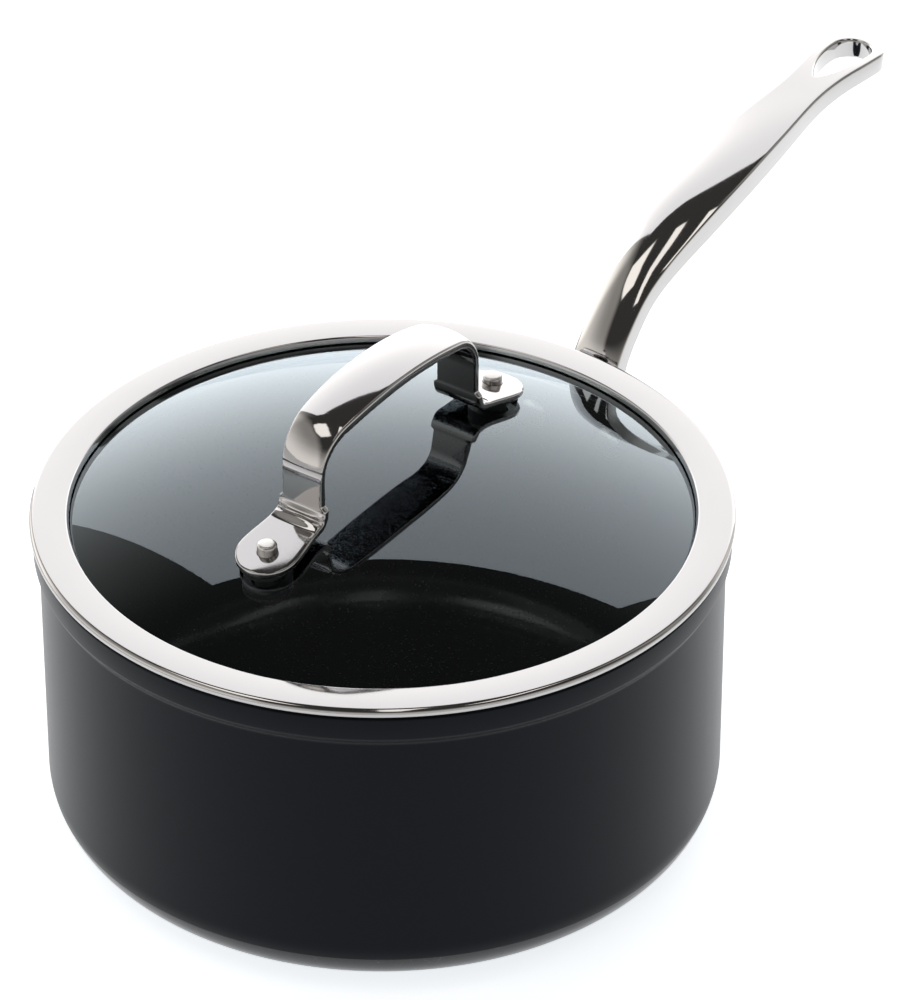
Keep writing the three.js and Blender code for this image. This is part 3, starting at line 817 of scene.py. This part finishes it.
def hump(value, centre, half):
    away = abs(value - centre) / half
    return math.cos(away * math.pi / 2) ** 2 if away < 1 else 0.0


CREASE_Z = CROWN_TOP + 18  # where the bridge's crown ends on a leg
FOOT_NECK = 8.6  # half width where a foot meets its leg


def build_lid_handle():
    foot_end = FOOT_X + (GAP + PAD + GAP) * math.sin(FOOT_TILT) + FOOT_RADIUS * math.cos(FOOT_TILT)
    shoulder = CROWN_TOP + BRIDGE_HEIGHT - 5
    bend = 5.5
    right = [
        (0, CROWN_TOP + BRIDGE_HEIGHT + 2.6),
        (LEG_X, shoulder),
        (LEG_X, foot_under(LEG_X)),
        (foot_end, foot_under(foot_end)),
    ]
    left = [(-x, z) for x, z in reversed(right[1:])]
    path, starts = rounded_path([*left, *right], [bend, 12, 135, 12, bend], [14, 22, 60, 22, 14])
    line = Line(path)
    foot_start = line.marks[starts[0]]  # where the foot's bend begins, coming from the foot's end
    bend_top = line.marks[starts[0] + 14]
    fine = {0.0}
    mark = 0.0
    while mark < line.length / 2:
        near_end = mark < 1.2
        near_crease = abs(line.at(mark)[0].y - CREASE_Z) < 1.5
        mark += 0.12 if near_end or near_crease else 0.3
        fine.add(min(mark, line.length / 2))
    marks = sorted(fine | {line.length - mark for mark in fine})
    stations = []
    for mark in marks:
        point, direction = line.at(mark)
        from_end = min(mark, line.length - mark)
        down = bend_top - from_end  # distance past the top of the foot's bend, towards the foot
        out = abs(point.x)
        bridge = smooth(CREASE_Z - 0.35, CREASE_Z + 0.35, point.y)
        thick_up = smooth(CREASE_Z, CREASE_Z + 10, point.y)
        middle = max(0.0, 1 - (out / LEG_X) ** 3)
        to_end = max(from_end, 0.02)
        round_half = math.sqrt(max(0.01, FOOT_RADIUS**2 - max(0.0, FOOT_RADIUS - to_end) ** 2))
        neck = lerp(round_half, FOOT_NECK, smooth(FOOT_RADIUS, foot_start, to_end))
        beam = lerp(STRAP_HALF_WIDTH, BRIDGE_HALF_WIDTH, middle)
        beam += (FOOT_NECK - STRAP_HALF_WIDTH) * smooth(-2.4, -0.8, down)
        half = neck if from_end < foot_start else beam
        edge = STRAP + 0.25 * bridge + (BRIDGE_EDGE - STRAP - 0.25) * thick_up * (0.2 + 0.8 * middle)
        folds = hump(down, 1.6, 2.8) + 0.8 * hump(down, 7.0, 2.8)
        edge += 0.4 * folds
        crown = lerp(0.12, BRIDGE_CROWN, bridge) + 1.2 * folds
        rim = 0.8
        trim = rim - math.sqrt(rim**2 - max(0.0, rim - to_end) ** 2)
        section = bar_section(half, edge, min(crown, 0.25 * half), 0.9, 0.9, trim)
        stations.append(((point.x, point.y), direction, 0.0, section))
    made = make("lid_strap", *sweep(stations), RIM_STEEL)
    for side in (-1, 1):
        tool = rod("stud_tool", STUD_RADIUS + 0.15, GLASS_EDGE, CROWN_TOP + 12, side * STUD_X)
        change(made, tool, "DIFFERENCE")
    finish_piece(made, "lid", "polished_steel", "lid_handle")


def build_stud(end, side):
    """A headed stud up through the glass and the foot. Only its end shows from above."""
    x = side * STUD_X
    slope_drop = WASHER_RADIUS * math.tan(FOOT_TILT)
    soft_bottom = glass_under(STUD_X) - slope_drop - 2 * GAP - WASHER
    washer_top = soft_bottom - GAP
    head_top = washer_top - WASHER - GAP
    head = STUD_HEAD_RADIUS
    foot_top = foot_under(STUD_X) + STRAP / math.cos(FOOT_TILT)
    top = foot_top + STUD_PROUD
    stud = [
        (0, head_top - STUD_HEAD),
        (head - 1.3, head_top - STUD_HEAD),
        (head - 0.7, head_top - STUD_HEAD + 0.2),
        (head - 0.2, head_top - STUD_HEAD + 0.7),
        (head, head_top - STUD_HEAD + 1.2),
        (head, head_top - 0.2),
        (head - 0.2, head_top),
        (STUD_RADIUS, head_top),
        (STUD_RADIUS, foot_top),
        *[(STUD_RADIUS, lerp(foot_top, top - 0.75, i / 4)) for i in range(1, 5)],
        (STUD_RADIUS - 0.08, top - 0.5),
        (STUD_RADIUS - 0.3, top - 0.25),
        (STUD_RADIUS - 0.6, top - 0.08),
        (STUD_RADIUS - 1.0, top - 0.02),
        (1.2, top + 0.06),
        (0, top + 0.1),
    ]
    points, faces = turned(stud, SMALL_ROUND)
    made = make(f"stud_{end}", shift(points, x), faces, SATIN_STEEL)
    finish_piece(made, "lid", "satin_steel", f"lid_stud_{end}")


def dress_hidden_nodes():
    """The soft and steel washers keep their CAD shapes with these finishes."""
    finishes = {
        "stud_sleeve": SILICONE,
        "foot_pad": SILICONE,
        "glass_washer": SILICONE,
        "steel_washer": SATIN_STEEL,
    }
    for start, finish in finishes.items():
        for end in ("front", "rear"):
            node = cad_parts[f"{start}_{end}"]
            node.data.materials.clear()
            node.data.materials.append(finish)


build_pan_body()
build_plate()
build_rivets()
build_pan_handle()
build_glass()
build_rim()
build_gasket()
build_lid_handle()
build_stud("front", -1)
build_stud("rear", 1)
dress_hidden_nodes()


# --- studio -----------------------------------------------------------------------------------------------

FORWARD = Vector((0.8098, 0.5867, 0))  # level direction in which the camera looks
SIDE = Vector((0.5867, -0.8098, 0))  # to its right


def build_floor():
    half = 30.0
    mesh = bpy.data.meshes.new("floor")
    corners = [(-half, -half, 0), (half, -half, 0), (half, half, 0), (-half, half, 0)]
    mesh.from_pydata(corners, [], [(0, 1, 2, 3)])
    floor = bpy.data.objects.new("floor", mesh)
    bpy.context.scene.collection.objects.link(floor)
    made = Shader("floor", Roughness=0.9)
    made.set("Base Color", made.mix(made.noise(3), (0.84, 0.84, 0.84), (0.86, 0.86, 0.86)))
    # Painted light: the floor glows with a faint blue emission, strongest round a spot just beyond the pan's
    # axis and fading outwards, a painted pool of light that also shines onto the pan
    made.principled.inputs["Emission Color"].default_value = (0.93, 0.965, 1.0, 1)
    sockets = {0: made.coordinates, 1: FORWARD * 0.15}
    middle = made.node("VectorMath", sockets, operation="SUBTRACT").outputs[0]
    away = made.node("VectorMath", {0: middle}, operation="LENGTH").outputs["Value"]
    made.set("Emission Strength", made.between(away, 0.82, 0.3, 0.39, 0.64))
    made.principled.inputs["Specular IOR Level"].default_value = 0.1
    mesh.materials.append(made.material)


def build_world():
    """A dim warm room as the steel mirrors it, each part of it a patch of directions.

    Pale walls stand behind the camera, beyond the object and at its left, the left one with a bright patch
    over it. A dimmer panel is at its right, and two strips run front to back on the ceiling.
    """
    world = bpy.data.worlds.new("studio")
    bpy.context.scene.world = world
    world.use_nodes = True
    tree = world.node_tree
    tree.nodes.clear()

    def node(kind, inputs=(), **settings):
        made = tree.nodes.new("ShaderNode" + kind)
        for name, value in settings.items():
            setattr(made, name, value)
        for socket, value in enumerate(inputs):
            if isinstance(value, bpy.types.NodeSocket):
                tree.links.new(value, made.inputs[socket])
            else:
                made.inputs[socket].default_value = value
        return made

    def maths(operation, *inputs):
        return node("Math", inputs, operation=operation).outputs[0]

    direction = node("TexCoord").outputs["Generated"]

    def along(vector):
        return node("VectorMath", (direction, vector), operation="DOT_PRODUCT").outputs["Value"]

    ahead, right, up = along(FORWARD), along(SIDE), along((0, 0, 1))

    def ramp(value, start, end, low=0.0, high=1.0):
        made = node("MapRange", (value, start, end, low, high), interpolation_type="SMOOTHSTEP")
        return made.outputs[0]

    def times(*factors):
        result = factors[0]
        for factor in factors[1:]:
            result = maths("MULTIPLY", result, factor)
        return result

    room = ramp(up, 0.0, 0.75, 0.85, 0.0)
    behind = ramp(ahead, 0.2, -0.5, 0.25, 1.0)
    far = times(ramp(up, 0.15, 0.85, 0.95, 0.0), ramp(ahead, 0.35, 0.6))
    left_side = times(ramp(up, 0.05, 0.72, 1.3, 0.4), ramp(right, -0.45, -0.65), ramp(up, 0.84, 0.80))
    left_top = times(
        ramp(up, 0.82, 0.85),
        ramp(right, -0.24, -0.28),
        ramp(ahead, 0.22, 0.18),
        ramp(ahead, -0.30, -0.26),
    )
    turn = maths("ARCTAN2", right, ahead)

    def panel(turn_low, turn_high, up_low, up_high, soft):
        """A patch of wall, by compass turn and by height."""
        return times(
            ramp(turn, turn_low, turn_low + soft),
            ramp(turn, turn_high + soft, turn_high),
            ramp(up, up_low, up_low + soft),
            ramp(up, up_high + soft, up_high),
        )

    over_right = maths("DIVIDE", right, maths("MAXIMUM", up, 0.05))
    over_ahead = maths("DIVIDE", ahead, maths("MAXIMUM", up, 0.05))

    def overhead(right_low, right_high, ahead_low, ahead_high):
        """A box on the ceiling, its edges as slopes from the object."""
        soft = 0.012
        return times(
            ramp(over_right, right_low, right_low + soft),
            ramp(over_right, right_high + soft, right_high),
            ramp(over_ahead, ahead_low, ahead_low + soft),
            ramp(over_ahead, ahead_high + soft, ahead_high),
            ramp(up, 0.3, 0.35),
        )

    right_side = times(panel(1.02, 1.46, 0.0, 0.82, 0.1), 0.42)
    both_strips = maths("ADD", overhead(-0.02, 0.09, -0.75, 0.12), overhead(0.34, 0.48, -0.5, 0.14))
    strips = times(both_strips, 1.7)
    level = 0.055
    for part in (times(room, behind), left_side, times(left_top, 1.75), right_side, strips):
        level = maths("MAXIMUM", level, part)
    level = maths("ADD", level, far)
    background = node("Background", ((1.0, 0.96, 0.90, 1), level))
    output = node("OutputWorld")
    tree.links.new(background.outputs[0], output.inputs[0])


def build_panel(name, centre, facing, width, height, radiance, colour):
    """A soft box: a rectangle of even light that faces a direction, its width level."""
    light = bpy.data.lights.new(name, "AREA")
    light.shape = "RECTANGLE"
    light.size = width
    light.size_y = height
    light.energy = radiance * math.pi * width * height
    light.color = colour
    box = bpy.data.objects.new(name, light)
    bpy.context.scene.collection.objects.link(box)
    box.location = centre
    box.rotation_mode = "QUATERNION"
    box.rotation_quaternion = Vector(facing).to_track_quat("-Z", "Y")
    box.visible_camera = False


SWEEP_AWAY = 0.75  # from the pan's axis to the white sweep behind it
SWEEP_RADIANCE = 1.4
LENS = 204.33
SENSOR = 36
CAMERA_PLACE = (-1.1333, -0.8478, 1.0537)
CAMERA_FORWARD = (0.67307, 0.48759, -0.55607)


def build_lights():
    left, right, top = -0.70 * SWEEP_AWAY, 0.97 * SWEEP_AWAY, 1.71 * SWEEP_AWAY
    centre = FORWARD * SWEEP_AWAY + SIDE * (left + right) / 2 + Vector((0, 0, top / 2))
    build_panel("sweep", centre, -FORWARD, right - left, top, SWEEP_RADIANCE, (0.985, 0.985, 1.0))


def build_camera():
    camera = bpy.data.cameras.new("camera")
    camera.lens = LENS
    camera.sensor_width = SENSOR
    camera.clip_start = 0.05
    camera.clip_end = 100
    seen = bpy.data.objects.new("camera", camera)
    bpy.context.scene.collection.objects.link(seen)
    seen.location = CAMERA_PLACE
    seen.rotation_mode = "QUATERNION"
    seen.rotation_quaternion = Vector(CAMERA_FORWARD).to_track_quat("-Z", "Y")
    bpy.context.scene.camera = seen


build_floor()
build_world()
build_lights()
build_camera()
bpy.context.scene.view_settings.view_transform = "Standard"
